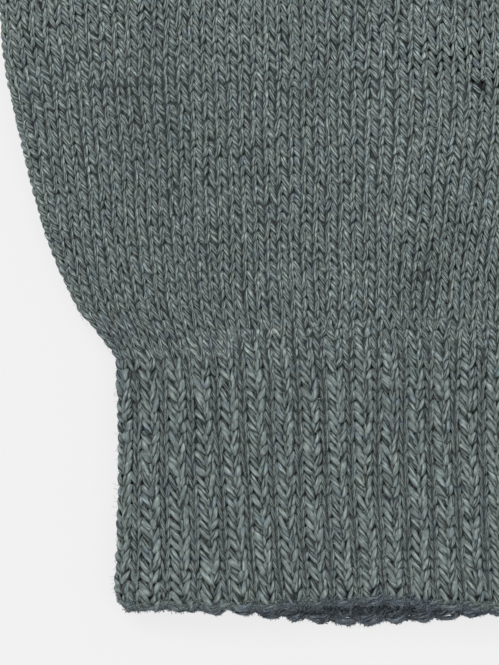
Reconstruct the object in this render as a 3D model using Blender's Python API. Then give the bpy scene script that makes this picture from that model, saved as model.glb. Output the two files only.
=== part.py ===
"""A pair of machine-knitted wool gloves, lying flat with the backs of the hands up and the thumbs inward.

Each glove is eight knitted tubes: a ribbed cuff, the lower hand that takes all five fingers, the upper
hand that takes four, a thumb and four fingers. A tube is one wall of cloth, flattened so that its front
and back layers lie on each other, and flat on its underside.
"""
from collections import namedtuple
from math import cos, exp, hypot, pi, radians, sin, sqrt

import bmesh
import bpy

for old in list(bpy.data.objects):
    bpy.data.objects.remove(old)

# Driving sizes, in millimetres. A glove's own x runs across it from the cuff's centre line towards the
# thumb, its y from the lowest point of the hem towards the fingertips, and its z up.
MM = 0.001
WALL = 2.1  # thickness of the knitted cloth
SEAM = 0.3  # gap between two knitted pieces where their loops are joined
LAYER_GAP = 0.5  # least space left between the front and the back layer
CENTRE_TO_CENTRE = 184.0  # between the two cuffs' centre lines

# A flattened tube's outline
SIDE_ROUND = 3.2  # how far in from its edge a tube rounds away
SIDE_HEIGHT = 5.2  # its height where that round ends
CROWN_POWER = 4  # how squarely its top rises from there to the middle

# Points round a section: steps round each edge, over the top and along the flat underside
Steps = namedtuple("Steps", "edge top base")
RIBS_ON_FRONT = 18
RIBS_ON_EDGE = 2
CUFF_STEPS = Steps(edge=4 * RIBS_ON_EDGE, top=4 * RIBS_ON_FRONT, base=8)
LOWER_HAND_STEPS = Steps(edge=4, top=28, base=8)
UPPER_HAND_STEPS = Steps(edge=4, top=24, base=8)
FINGER_STEPS = Steps(edge=4, top=8, base=4)

# The cuff from hem to wrist. rib is how far a column of knit stitches stands out from the purl ones
# beside it, and parted the share of the mouth's parting that is left at that row.
CuffRow = namedtuple("CuffRow", "y left right height rib parted")
CUFF = [
    CuffRow(y=2.2, left=-45.0, right=44.8, height=7.8, rib=0.7, parted=1.0),
    CuffRow(y=6.8, left=-45.1, right=44.9, height=7.4, rib=0.9, parted=0.5),
    CuffRow(y=13.0, left=-44.8, right=44.6, height=6.6, rib=0.9, parted=0.15),
    CuffRow(y=24.0, left=-44.5, right=44.3, height=6.2, rib=0.9, parted=0.0),
    CuffRow(y=35.0, left=-44.4, right=44.2, height=6.2, rib=0.9, parted=0.0),
    CuffRow(y=43.0, left=-44.7, right=44.5, height=6.4, rib=0.7, parted=0.0),
    CuffRow(y=47.7, left=-44.9, right=44.8, height=6.6, rib=0.3, parted=0.0),
]
RIB_WAVE = (1.0, 0.0, 0.0, 1.0)  # share of a rib's height at the four points across it
SCALLOP = 0.5  # how far a rib's end stands out at the hem
HEM_CORNER = 2.6  # radius of the hem's corners
MOUTH_HALF = 17.0  # half the width over which the two layers part at the hem
FRONT_UP = 1.2  # how far the front layer's hem draws back in the middle of the mouth
BACK_OUT = 2.2  # how far the back layer's hem reaches out there

# The lower hand from the wrist to the thumb crotch, a row for each course of knitting that bounds a
# band. A course lies at its level on the cuff's centre line, sinks by bow at the width of BOW_WIDTH on
# either side, and falls away by droop at the thumb's outer edge.
Course = namedtuple("Course", "level bow droop left_x right_x height")
LOWER_HAND = [
    Course(level=48.0, bow=0.0, droop=0.0, left_x=-45.1, right_x=45.0, height=6.6),
    Course(level=52.0, bow=0.3, droop=1.6, left_x=-47.9, right_x=47.0, height=6.9),
    Course(level=56.7, bow=0.7, droop=2.6, left_x=-51.7, right_x=49.6, height=7.3),
    Course(level=63.4, bow=1.2, droop=5.0, left_x=-54.8, right_x=51.9, height=7.7),
    Course(level=71.6, bow=1.7, droop=8.2, left_x=-57.9, right_x=53.9, height=8.0),
    Course(level=82.1, bow=2.1, droop=12.0, left_x=-60.6, right_x=55.8, height=8.1),
    Course(level=90.5, bow=2.3, droop=13.5, left_x=-62.6, right_x=57.3, height=8.1),
    Course(level=98.6, bow=2.5, droop=14.5, left_x=-64.3, right_x=58.6, height=8.0),
]
BOW_WIDTH = 60.0
DROOP_START = 14.0  # x where a course begins to fall away towards the thumb
DROOP_WIDTH = 44.6  # from there to the thumb's outer edge
DROOP_POWER = 1.6
THUMB_CROTCH_X = 26.5

# The upper hand, between the lower hand's last course and the knuckle line. share is the way up from
# the one to the other, and left_out and right_out are how far its edges stand out from straight.
HandRow = namedtuple("HandRow", "share left_out right_out height")
UPPER_HAND = [
    HandRow(share=0.00, left_out=0.0, right_out=0.0, height=8.0),
    HandRow(share=0.18, left_out=1.2, right_out=0.3, height=8.1),
    HandRow(share=0.40, left_out=1.9, right_out=0.6, height=8.1),
    HandRow(share=0.62, left_out=1.8, right_out=0.8, height=8.0),
    HandRow(share=0.82, left_out=1.1, right_out=0.6, height=7.8),
    HandRow(share=1.00, left_out=0.0, right_out=0.0, height=7.5),
]

# The knuckle line, an arc on which the four fingers start
KNUCKLE_LEFT = (-64.2, 137.0)
KNUCKLE_RIGHT = (26.8, 147.0)
KNUCKLE_RISE = 9.0  # how far the arc stands above the straight line between its ends

# Fingers, from the little one. first and last are where a finger's root lies as shares of the knuckle
# line, or of the lower hand's last course for the thumb. lean is in degrees towards the thumb, and
# taper is the width before the tip as a share of the root's.
Finger = namedtuple("Finger", "name first last lean length height taper")
FINGERS = [
    Finger(name="little", first=0.000, last=0.225, lean=-13.0, length=57.0, height=6.4, taper=0.88),
    Finger(name="ring", first=0.225, last=0.475, lean=-6.0, length=73.0, height=6.7, taper=0.89),
    Finger(name="middle", first=0.475, last=0.740, lean=0.0, length=80.0, height=6.8, taper=0.89),
    Finger(name="index", first=0.740, last=1.000, lean=5.0, length=73.0, height=6.7, taper=0.88),
]
THUMB_START = (THUMB_CROTCH_X - LOWER_HAND[-1].left_x) / (LOWER_HAND[-1].right_x - LOWER_HAND[-1].left_x)
THUMB = Finger(name="thumb", first=THUMB_START, last=1.0, lean=27.0, length=62.0, height=7.4, taper=0.74)
FINGER_BANDS = 6  # bands along a finger before its round tip
TIP_BANDS = 4  # bands over the tip
TIP_SHARE = 0.55  # length of the tip as a share of the finger's width there
TIP_HEIGHT = 4.9  # height of the finger at the very tip
TIP_END = radians(82)  # where the last section stands on the tip's quarter turn
ROOT_TURN = 14.0  # length over which a finger's first courses turn square to it

# Creases in the upper layer, at x and y. turn is in degrees from the y axis.
Crease = namedtuple("Crease", "x y long wide turn depth")
CREASES = [
    Crease(x=11.0, y=63.0, long=11.0, wide=5.0, turn=14.0, depth=1.2),
    Crease(x=-38.0, y=88.0, long=20.0, wide=7.0, turn=-12.0, depth=0.6),
    Crease(x=41.0, y=78.0, long=13.0, wide=5.0, turn=22.0, depth=0.9),
    Crease(x=-12.0, y=127.0, long=22.0, wide=7.0, turn=-6.0, depth=0.6),
]
FINGER_VALLEY = Crease(x=0.0, y=0.0, long=9.0, wide=2.6, turn=0.0, depth=2.2)

WOOL = (0.112, 0.135, 0.130, 1.0)
WOOL_ROUGHNESS = 0.95


def mix(first, last, share):
    return first + (last - first) * share


def hand_course(row):
    """One course of the lower hand, as a path from its left edge to its right one."""

    def path(share):
        x = mix(row.left_x, row.right_x, share)
        fall = (max(0.0, x - DROOP_START) / DROOP_WIDTH) ** DROOP_POWER
        return x, row.level - row.bow * (x / BOW_WIDTH) ** 2 - row.droop * fall

    return path


def knuckle_line(share):
    """A point on the knuckle line, at a share of the way from the little finger's side."""
    x = mix(KNUCKLE_LEFT[0], KNUCKLE_RIGHT[0], share)
    y = mix(KNUCKLE_LEFT[1], KNUCKLE_RIGHT[1], share) + KNUCKLE_RISE * 4 * share * (1 - share)
    return x, y


def stretch(path, first, last, up=0.0):
    """A stretch of a path between two shares of it, moved up by a little."""

    def part(share):
        x, y = path(mix(first, last, share))
        return x, y + up

    return part


def crease_depth(x, y):
    """How far the upper layer is pressed down at a place by its creases and between the fingers."""
    borders = [knuckle_line(finger.first) for finger in FINGERS[1:]]
    valleys = [FINGER_VALLEY._replace(x=border[0], y=border[1]) for border in borders]
    depth = 0.0
    for crease in CREASES + valleys:
        turn = radians(crease.turn)
        across = (x - crease.x) * cos(turn) - (y - crease.y) * sin(turn)
        along = (y - crease.y) * cos(turn) + (x - crease.x) * sin(turn)
        depth += crease.depth * exp(-((across / crease.wide) ** 2) - (along / crease.long) ** 2)
    return depth


# A point of a section: its place across and height, its share in the upper layer, how far it could be
# pressed down, and the direction there that points out of the tube.
Spot = namedtuple("Spot", "across height upper room out_across out_up")


def profile(width, height, inset, steps):
    """The closed outline of a flattened tube, inset from its outer face by some thickness.

    It runs up round the left edge, over the top, down round the right edge and back along the underside.
    """
    round_in = min(SIDE_ROUND, 0.45 * width)
    side = min(SIDE_HEIGHT, height)
    radius_across = max(round_in - inset, LAYER_GAP / 2)
    radius_up = side / 2 - inset
    side_room = side - 2 * WALL - LAYER_GAP
    left, over, right, under = [], [], [], []
    for i in range(steps.edge):
        angle = pi * (i / steps.edge - 0.5)
        upper = (1 + sin(angle)) / 2
        out = radius_across * cos(angle)
        up = side / 2 + radius_up * sin(angle)
        left.append(Spot(round_in - out, up, upper, side_room, -cos(angle), sin(angle)))
    for i in range(steps.edge):
        angle = pi * (0.5 - i / steps.edge)
        upper = (1 + sin(angle)) / 2
        out = radius_across * cos(angle)
        up = side / 2 + radius_up * sin(angle)
        right.append(Spot(width - round_in + out, up, upper, side_room, cos(angle), sin(angle)))
    for i in range(steps.top):
        share = i / steps.top
        crown = (height - side) * (1 - (2 * share - 1) ** CROWN_POWER)
        across = mix(round_in, width - round_in, share)
        over.append(Spot(across, side + crown - inset, 1.0, side_room + crown, 0.0, 1.0))
    for i in range(steps.base):
        across = mix(width - round_in, round_in, i / steps.base)
        under.append(Spot(across, inset, 0.0, 0.0, 0.0, -1.0))
    return left + over + right + under


def section(path, height, inset, steps):
    """A section of a plain tube across a path."""
    start, end = path(0.0), path(1.0)
    width = hypot(end[0] - start[0], end[1] - start[1])
    points = []
    for spot in profile(width, height, inset, steps):
        x, y = path(spot.across / width)
        depth = min(crease_depth(x, y), max(spot.room, 0.0))
        points.append((x, y, spot.height - spot.upper * depth))
    return points


def cuff_section(row, inset, steps):
    """A section of the cuff: ribs stand out of its outer face, and its inner face is plain."""
    width = row.right - row.left
    points = []
    for i, spot in enumerate(profile(width, row.height, inset, steps)):
        wave = RIB_WAVE[i % len(RIB_WAVE)] * spot.upper if inset == 0 else 0.0
        x = row.left + spot.across + spot.out_across * wave * row.rib
        z = spot.height + spot.out_up * wave * row.rib
        parting = row.parted * exp(-((x / MOUTH_HALF) ** 2))
        y = row.y + parting * (FRONT_UP * spot.upper - BACK_OUT * (1 - spot.upper))
        if row is CUFF[0]:
            from_edge = min(spot.across, width - spot.across, HEM_CORNER)
            y += HEM_CORNER - sqrt(HEM_CORNER**2 - (HEM_CORNER - from_edge) ** 2) - SCALLOP * wave
        points.append((x, y, z))
    return points


def beside(width):
    """Half a seam as a share of a width, by which two pieces side by side each stand back."""
    return SEAM / 2 / width


def thumb_side(first, last):
    """A stretch of the lower hand's last course, just above it."""
    return stretch(hand_course(LOWER_HAND[-1]), first, last, up=SEAM)


def upper_hand_path(row):
    """The upper hand's section at one row of its table."""
    clear = beside(LOWER_HAND[-1].right_x - LOWER_HAND[-1].left_x)
    low = thumb_side(0.0, THUMB.first - clear)

    def path(share):
        x_low, y_low = low(share)
        x_high, y_high = knuckle_line(share)
        x = mix(x_low, x_high, row.share) - row.left_out * (1 - share) + row.right_out * share
        return x, mix(y_low, y_high, row.share)

    return path


def finger_root(finger):
    """The path on which a finger starts, clear of the hand and of what is beside it."""
    if finger is THUMB:
        return thumb_side(finger.first + beside(LOWER_HAND[-1].right_x - LOWER_HAND[-1].left_x), 1.0)
    clear = beside(KNUCKLE_RIGHT[0] - KNUCKLE_LEFT[0])
    return stretch(knuckle_line, finger.first + clear, finger.last - clear, up=SEAM)


def finger_sections(finger, inset, steps):
    """All the sections of a finger's outer or inner face, closing in over its round tip."""
    root = finger_root(finger)
    first, last = root(0.0), root(1.0)
    lean = radians(finger.lean)
    middle = ((first[0] + last[0]) / 2, (first[1] + last[1]) / 2)
    root_width = (last[0] - first[0]) * cos(lean) - (last[1] - first[1]) * sin(lean)
    tip_width = root_width * finger.taper
    tip_length = tip_width * TIP_SHARE
    straight = finger.length - tip_length

    def square(share, distance, width):
        """A place on a line square to the finger, at a distance from its root."""
        off = (share - 0.5) * width
        x = middle[0] + sin(lean) * distance + cos(lean) * off
        y = middle[1] + cos(lean) * distance - sin(lean) * off
        return x, y

    def path_at(distance, width):
        turned = max(0.0, 1 - distance / ROOT_TURN) ** 2

        def path(share):
            x, y = square(share, distance, width)
            x_root, y_root = root(share)
            x_flat, y_flat = square(share, 0.0, root_width)
            return x + (x_root - x_flat) * turned, y + (y_root - y_flat) * turned

        return path

    sections = []
    for i in range(FINGER_BANDS):
        share = i / FINGER_BANDS
        path = path_at(straight * share, mix(root_width, tip_width, share))
        sections.append(section(path, finger.height, inset, steps))
    for i in range(TIP_BANDS + 1):
        angle = TIP_END * i / TIP_BANDS
        distance = straight + (tip_length - inset) * sin(angle)
        width = (tip_width - 2 * inset) * cos(angle) + 2 * inset
        height = mix(TIP_HEIGHT, finger.height, sqrt(cos(angle)))
        sections.append(section(path_at(distance, width), height, inset, steps))
    return sections


def halved(steps):
    """The inner face of a wall has half as many points as the outer one."""
    return Steps(edge=steps.edge // 2, top=steps.top // 2, base=steps.base // 2)


def glove_pieces():
    """Each piece's name with the sections of its outer and inner faces and whether its far end is shut."""
    pieces = []
    faces = ((0.0, CUFF_STEPS), (WALL, halved(CUFF_STEPS)))
    cuff = [[cuff_section(row, *face) for row in CUFF] for face in faces]
    pieces.append(("cuff", cuff, False))
    faces = ((0.0, LOWER_HAND_STEPS), (WALL, halved(LOWER_HAND_STEPS)))
    lower = [[section(hand_course(row), row.height, *face) for row in LOWER_HAND] for face in faces]
    pieces.append(("lower_hand", lower, False))
    faces = ((0.0, UPPER_HAND_STEPS), (WALL, halved(UPPER_HAND_STEPS)))
    upper = [[section(upper_hand_path(row), row.height, *face) for row in UPPER_HAND] for face in faces]
    pieces.append(("upper_hand", upper, False))
    for finger in FINGERS + [THUMB]:
        faces = ((0.0, FINGER_STEPS), (WALL, halved(FINGER_STEPS)))
        pieces.append((finger.name, [finger_sections(finger, *face) for face in faces], True))
    return pieces


def loft(mesh, sections):
    """Joins each section to the next with faces, and returns the vertices of all of them."""
    rings = [[mesh.verts.new(point) for point in points] for points in sections]
    for low, high in zip(rings, rings[1:]):
        for i, start in enumerate(low):
            end = (i + 1) % len(low)
            mesh.faces.new((start, low[end], high[end], high[i]))
    return rings


def close_edge(mesh, outer, inner):
    """Closes the wall's cut edge between its outer ring and the inner one of half as many points."""
    for i, start in enumerate(inner):
        end = inner[(i + 1) % len(inner)]
        first, middle, last = outer[2 * i], outer[2 * i + 1], outer[(2 * i + 2) % len(outer)]
        mesh.faces.new((first, middle, start))
        mesh.faces.new((middle, last, end, start))


def knit_piece(name, faces, shut, place, material):
    """One knitted tube as an object: a closed wall between its outer and inner faces."""
    mesh = bmesh.new()
    outer, inner = [loft(mesh, [[place(point) for point in ring] for ring in face]) for face in faces]
    close_edge(mesh, outer[0], inner[0])
    if shut:
        mesh.faces.new(outer[-1])
        mesh.faces.new(inner[-1])
    else:
        close_edge(mesh, outer[-1], inner[-1])
    bmesh.ops.recalc_face_normals(mesh, faces=mesh.faces)
    data = bpy.data.meshes.new(name)
    mesh.to_mesh(data)
    mesh.free()
    data.materials.append(material)
    data.shade_smooth()
    piece = bpy.data.objects.new(name, data)
    bpy.context.scene.collection.objects.link(piece)


def wool(name):
    """The matt grey-green wool of one piece."""
    material = bpy.data.materials.new(name)
    material.use_nodes = True
    shader = material.node_tree.nodes["Principled BSDF"]
    shader.inputs["Base Color"].default_value = WOOL
    shader.inputs["Roughness"].default_value = WOOL_ROUGHNESS
    shader.inputs["Metallic"].default_value = 0.0
    return material


def build_pair():
    """Both gloves, mirror images, with the origin on the floor at the middle of their footprint."""
    pieces = glove_pieces()
    lengthwise = [point[1] for _, faces, _ in pieces for face in faces for ring in face for point in ring]
    mid_length = (min(lengthwise) + max(lengthwise)) / 2
    for hand, side in (("left", 1), ("right", -1)):

        def place(point):
            x, y, z = point
            return side * (x - CENTRE_TO_CENTRE / 2) * MM, (y - mid_length) * MM, z * MM

        for name, faces, shut in pieces:
            node = f"{hand}_{name}"
            knit_piece(node, faces, shut, place, wool(node))


build_pair()
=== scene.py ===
from collections import namedtuple
from functools import partial
from math import cos, pi, radians, sin, sqrt

import bmesh
import bpy
import numpy as np
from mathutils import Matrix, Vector


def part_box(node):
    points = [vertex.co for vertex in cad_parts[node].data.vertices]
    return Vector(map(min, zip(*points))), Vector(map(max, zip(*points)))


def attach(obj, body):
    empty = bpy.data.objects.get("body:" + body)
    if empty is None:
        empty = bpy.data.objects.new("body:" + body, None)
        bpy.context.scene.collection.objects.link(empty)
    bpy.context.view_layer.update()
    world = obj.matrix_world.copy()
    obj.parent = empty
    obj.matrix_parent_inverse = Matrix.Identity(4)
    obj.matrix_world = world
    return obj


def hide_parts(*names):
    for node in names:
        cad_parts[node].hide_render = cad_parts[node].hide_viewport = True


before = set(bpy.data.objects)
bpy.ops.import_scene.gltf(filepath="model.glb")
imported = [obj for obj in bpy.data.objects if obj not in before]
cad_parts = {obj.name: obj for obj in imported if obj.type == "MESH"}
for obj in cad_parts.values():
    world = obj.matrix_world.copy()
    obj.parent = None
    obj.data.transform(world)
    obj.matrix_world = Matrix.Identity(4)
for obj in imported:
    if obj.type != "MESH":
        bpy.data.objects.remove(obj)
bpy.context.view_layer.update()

# Yarn: a soft wool yarn of three plies, spun from dark blue-grey and pale green-grey fibres.
# All the gloves' stitches and loose fibres are of it, so its twist and flecks are one effect.
MM = 0.001
PLY_SPACING = 0.68
PLY_TURN = radians(11)
PLY_WANDER = 1.1
WANDER_STRETCH = 0.4
WANDER_SCALE = 1.3
PLY_ROUND = 0.75
FIBRE_ACROSS = 6.5
FIBRE_ALONG = 1.1
FIBRE_DETAIL = 3.0
FIBRE_HEIGHT = 0.8
# Painted shade and highlight: the plies' grooves are coloured darker and their crests paler
GROOVE_SHADE = 0.30
CREST_HIGHLIGHT = 1.40
CLOUD_SCALE = 260.0
CLOUD_DRIFT = 0.04
PATCH_SCALE = 420.0
PATCH_RANGE = (0.55, 0.72)
PATCH_STRENGTH = 0.8
WOOL_DARK = (0.042, 0.052, 0.053, 1.0)
WOOL_MIDDLE = (0.137, 0.169, 0.162, 1.0)
WOOL_PALE = (0.375, 0.445, 0.419, 1.0)
FLECK_STOPS = ((0.28, WOOL_DARK), (0.50, WOOL_MIDDLE), (0.74, WOOL_PALE))
BLUE_CAST = (0.88, 0.94, 1.10, 1.0)
# Painted shade and the felted fuzz's blue-grey, as one tint
FELT_AND_SHADE = (0.70, 0.69, 0.82, 1.0)
DEEP_SHADE = 0.36
PLY_BUMP = 0.00012
SUMS = ("ADD", "SUBTRACT", "MULTIPLY")
WOOL_FINISH = {"Roughness": 0.92, "Specular IOR Level": 0.25, "Sheen Weight": 0.12, "Sheen Roughness": 0.5}


def effect(name, **inputs):
    """A node group with named inputs and a colour and a height for results, and the sockets inside it."""
    group = bpy.data.node_groups.new(name, "ShaderNodeTree")
    for socket, kind in inputs.items():
        group.interface.new_socket(name=socket, in_out="INPUT", socket_type=f"NodeSocket{kind}")
    for socket, kind in (("Color", "Color"), ("Height", "Float")):
        group.interface.new_socket(name=socket, in_out="OUTPUT", socket_type=f"NodeSocket{kind}")
    return group, group.nodes.new("NodeGroupInput").outputs, group.nodes.new("NodeGroupOutput").inputs


def wire(tree, source, target):
    """Feeds a socket, a plain number or a colour into a socket."""
    if isinstance(source, (int, float, tuple)):
        target.default_value = source
    else:
        tree.links.new(source, target)


def work_out(tree, operation, *values):
    """One step of arithmetic on sockets and numbers."""
    node = tree.nodes.new("ShaderNodeMath")
    node.operation = operation
    for value, socket in zip(values, node.inputs):
        wire(tree, value, socket)
    return node.outputs[0]


def settle(node, values):
    """Sets a node's own numbers and colours."""
    for socket, value in values.items():
        node.inputs[socket].default_value = value


def blotches(tree, place, scale, detail=2.0):
    """The grey value of a noise pattern at a place."""
    noise = tree.nodes.new("ShaderNodeTexNoise")
    settle(noise, {"Scale": scale, "Detail": detail})
    wire(tree, place, noise.inputs["Vector"])
    return noise.outputs["Fac"]


def vector_of(tree, x, y, z):
    """A vector from its three parts."""
    node = tree.nodes.new("ShaderNodeCombineXYZ")
    for value, socket in zip((x, y, z), node.inputs):
        wire(tree, value, socket)
    return node.outputs[0]


def spread(tree, value, low, high, to_low=0.0, to_high=1.0):
    """A value from low to high, spread smoothly over a new range."""
    node = tree.nodes.new("ShaderNodeMapRange")
    node.interpolation_type = "SMOOTHSTEP"
    for number, socket in zip((low, high, to_low, to_high), list(node.inputs)[1:5]):
        socket.default_value = number
    wire(tree, value, node.inputs[0])
    return node.outputs[0]


def flecked(tree, tone):
    """The wool's colour at a tone, from its dark fibres to its pale ones."""
    flecks = tree.nodes.new("ShaderNodeValToRGB")
    while len(flecks.color_ramp.elements) < len(FLECK_STOPS):
        flecks.color_ramp.elements.new(0.5)
    for element, (position, color) in zip(flecks.color_ramp.elements, FLECK_STOPS):
        element.position = position
        element.color = color
    wire(tree, tone, flecks.inputs["Fac"])
    return flecks.outputs["Color"]


def tinted(tree, color, tint, share):
    """A colour multiplied by a tint, at a share of its strength."""
    node = tree.nodes.new("ShaderNodeMix")
    node.data_type = "RGBA"
    node.blend_type = "MULTIPLY"
    wire(tree, share, node.inputs["Factor"])
    wire(tree, color, node.inputs[6])
    wire(tree, tint, node.inputs[7])
    return node.outputs[2]


def wool_yarn():
    """Twisted plies and fibre flecks, from a yarn's own coordinates: along it, across it and its lot."""
    numbers = dict.fromkeys(("Felt_and_shade", "Deep", "Fleck", "Shade"), "Float")
    group, given, results = effect("wool yarn", Yarn="Vector", Place="Vector", **numbers)
    step = partial(work_out, group)
    plus, minus, times = (partial(step, operation) for operation in SUMS)
    parts = group.nodes.new("ShaderNodeSeparateXYZ")
    wire(group, given["Yarn"], parts.inputs[0])
    along, across, lot = parts.outputs
    over = plus(times(across, cos(PLY_TURN)), times(along, sin(PLY_TURN)))
    down = minus(times(along, cos(PLY_TURN)), times(across, sin(PLY_TURN)))
    wander = blotches(group, vector_of(group, over, times(down, WANDER_STRETCH), lot), WANDER_SCALE)
    turns = plus(step("DIVIDE", over, PLY_SPACING), times(wander, PLY_WANDER))
    ply = spread(group, step("ABSOLUTE", step("SINE", times(turns, pi))), 0.0, PLY_ROUND)
    strands = vector_of(group, times(over, FIBRE_ACROSS), times(down, FIBRE_ALONG), lot)
    fibre = blotches(group, strands, 1.0, FIBRE_DETAIL)
    cloud = blotches(group, given["Place"], CLOUD_SCALE)
    fleck = times(minus(fibre, 0.5), given["Fleck"])
    drift = times(minus(cloud, 0.5), CLOUD_DRIFT)
    tone = plus(plus(fleck, drift), 0.5)
    # Painted shade in the plies' grooves and painted highlight on their crests
    groove = spread(group, ply, 0.0, 1.0, GROOVE_SHADE, CREST_HIGHLIGHT)
    # Painted shade: yarn is darkened by its deep value, which for the stitches is how deep and how creased
    # they lie, and for the loose fibres is random
    groove = times(groove, minus(1.0, times(given["Deep"], given["Shade"])))
    grey = group.nodes.new("ShaderNodeCombineColor")
    for socket in grey.inputs:
        wire(group, groove, socket)
    color = tinted(group, flecked(group, tone), grey.outputs[0], 1.0)
    patch = blotches(group, given["Place"], PATCH_SCALE)
    color = tinted(group, color, BLUE_CAST, spread(group, patch, *PATCH_RANGE, 0.0, PATCH_STRENGTH))
    # Painted shade and blue felt colour round the hems, the mouths and the cuffs' outer sides
    color = tinted(group, color, FELT_AND_SHADE, given["Felt_and_shade"])
    wire(group, color, results["Color"])
    wire(group, plus(ply, times(fibre, FIBRE_HEIGHT)), results["Height"])
    return group


def new_material(name, finish):
    """A new material, with its shader's own numbers set."""
    material = bpy.data.materials.new(name)
    material.use_nodes = True
    settle(material.node_tree.nodes["Principled BSDF"], finish)
    return material


def dressed(name, finish, node_group, bump):
    """A new material that shows an effect's colour and height, with its nodes and the effect among them."""
    material = new_material(name, finish)
    tree = material.node_tree
    shader = tree.nodes["Principled BSDF"]
    group = tree.nodes.new("ShaderNodeGroup")
    group.node_tree = node_group
    relief = tree.nodes.new("ShaderNodeBump")
    settle(relief, {"Distance": bump})
    wire(tree, group.outputs["Height"], relief.inputs["Height"])
    wire(tree, relief.outputs["Normal"], shader.inputs["Normal"])
    wire(tree, group.outputs["Color"], shader.inputs["Base Color"])
    return material, tree, group


yarn_effect = wool_yarn()


def wool(name, fleck=1.0, bump=PLY_BUMP, shade=DEEP_SHADE):
    """The matt, slightly sheeny finish of one knitted piece's yarn."""
    material, tree, group = dressed(name, WOOL_FINISH, yarn_effect, bump)
    settle(group, {"Fleck": fleck, "Shade": shade})
    place = tree.nodes.new("ShaderNodeTexCoord")
    wire(tree, place.outputs["Object"], group.inputs["Place"])
    for layer, output in (("yarn", "Vector"), ("felt_and_shade", "Fac"), ("deep", "Fac")):
        attribute = tree.nodes.new("ShaderNodeAttribute")
        attribute.attribute_name = layer
        wire(tree, attribute.outputs[output], group.inputs[layer.capitalize()])
    return material


# Cloth walls: the sixteen knitted tubes, eight to a glove, each one thin wall of wool cloth. They carry
# the raised stitches of the sections below, and show by themselves inside and underneath.
HANDS = (("left", 1), ("right", -1))
WALL_SINK = 0.6
CUFF_SINK = 1.1
SEAM = 0.3
SEAM_LAP = 1.4
ON_LAST_COURSE = 0.12
ON_KNUCKLES = 0.15
HEM_BACK = 0.7
HEM_DEPTH = 5.0
MERGE = 0.000001
OFF_FLOOR = 0.0001
OFF_INSIDE = 0.003
FACING = 0.25
V_STEEP = 1.5
LEG_ROUND = 0.6
WALE_ROUND = 0.5
STITCH_SHADING = 0.32
FIBRE_TONE = 0.62
FIBRE_SCALE = 2600.0
UNDERSIDE_TO_TOP = (0.0003, 0.0012)
CLOTH_BUMP = 0.0005
CLOTH_FINISH = {"Roughness": 0.95, "Specular IOR Level": 0.2}
# Painted shade: the dark colours the walls' tops show between and under the raised stitches
SHADE_BETWEEN_STITCHES = (0.065, 0.076, 0.077, 1.0)
SHADE_BETWEEN_RIBS = (0.150, 0.175, 0.172, 1.0)
PLAIN_CLOTH = (0.00224, 0.00170, SHADE_BETWEEN_STITCHES)
RIB_CLOTH = (0.00236, 0.00192, SHADE_BETWEEN_RIBS)

# How far round each tube is in metres, how long, and its area where that isn't their product
TUBES = {
    "cuff": (0.185, 0.046, None),
    "lower_hand": (0.245, 0.054, 0.0107),
    "upper_hand": (0.195, 0.052, 0.0085),
    "little": (0.048, 0.058, 0.0025),
    "ring": (0.052, 0.074, 0.0035),
    "middle": (0.055, 0.081, 0.0040),
    "index": (0.055, 0.074, 0.0037),
    "thumb": (0.067, 0.063, 0.0036),
}


def knit_relief():
    """The small V's of plain knitting, for cloth whose stitches aren't raised in its shape."""
    inputs = {"Place": "Vector", "Wale": "Float", "Course": "Float", "Between": "Color"}
    group, given, results = effect("knit relief", **inputs)
    step = partial(work_out, group)
    plus, minus, times = (partial(step, operation) for operation in SUMS)
    parts = group.nodes.new("ShaderNodeSeparateXYZ")
    wire(group, given["Place"], parts.inputs[0])
    wales = step("DIVIDE", parts.outputs[0], given["Wale"])
    courses = step("DIVIDE", parts.outputs[1], given["Course"])
    fold = step("ABSOLUTE", minus(step("FRACT", wales), 0.5))
    lean = minus(courses, times(fold, V_STEEP))
    leg = step("ABSOLUTE", step("SINE", times(lean, pi)))
    side = step("ABSOLUTE", step("SINE", times(wales, 2 * pi)))
    stitch = times(step("POWER", leg, LEG_ROUND), step("POWER", side, WALE_ROUND))
    fibre = blotches(group, given["Place"], FIBRE_SCALE, FIBRE_DETAIL)
    # Painted shade: the knit's raised legs are coloured paler than the hollows between them
    tone = plus(times(stitch, STITCH_SHADING), times(fibre, FIBRE_TONE))
    # Painted shade: the wall's top, under the raised stitches, takes the dark between colour; its underside
    # keeps the knit's colour
    top = group.nodes.new("ShaderNodeMix")
    top.data_type = "RGBA"
    wire(group, spread(group, parts.outputs[2], *UNDERSIDE_TO_TOP), top.inputs["Factor"])
    wire(group, flecked(group, tone), top.inputs[6])
    wire(group, given["Between"], top.inputs[7])
    wire(group, top.outputs[2], results["Color"])
    wire(group, stitch, results["Height"])
    return group


cloth_effect = knit_relief()


def cloth(name, wale, course, turn, between):
    """Plain knitted cloth, its wales turned to run along the piece. between is the painted shade that shows
    under the stitches.
    """
    material, tree, group = dressed(name, CLOTH_FINISH, cloth_effect, CLOTH_BUMP)
    settle(group, {"Wale": wale, "Course": course, "Between": between})
    place = tree.nodes.new("ShaderNodeTexCoord")
    aim = tree.nodes.new("ShaderNodeMapping")
    settle(aim, {"Rotation": (0.0, 0.0, turn)})
    wire(tree, place.outputs["Object"], aim.inputs["Vector"])
    wire(tree, aim.outputs["Vector"], group.inputs["Place"])
    return material


def add_object(name, data):
    """A new object in the scene."""
    piece = bpy.data.objects.new(name, data)
    bpy.context.scene.collection.objects.link(piece)
    return piece


def edit(piece):
    """Opens a piece for editing, alone."""
    bpy.ops.object.select_all(action="DESELECT")
    piece.select_set(True)
    bpy.context.view_layer.objects.active = piece
    bpy.ops.object.mode_set(mode="EDIT")


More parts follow.
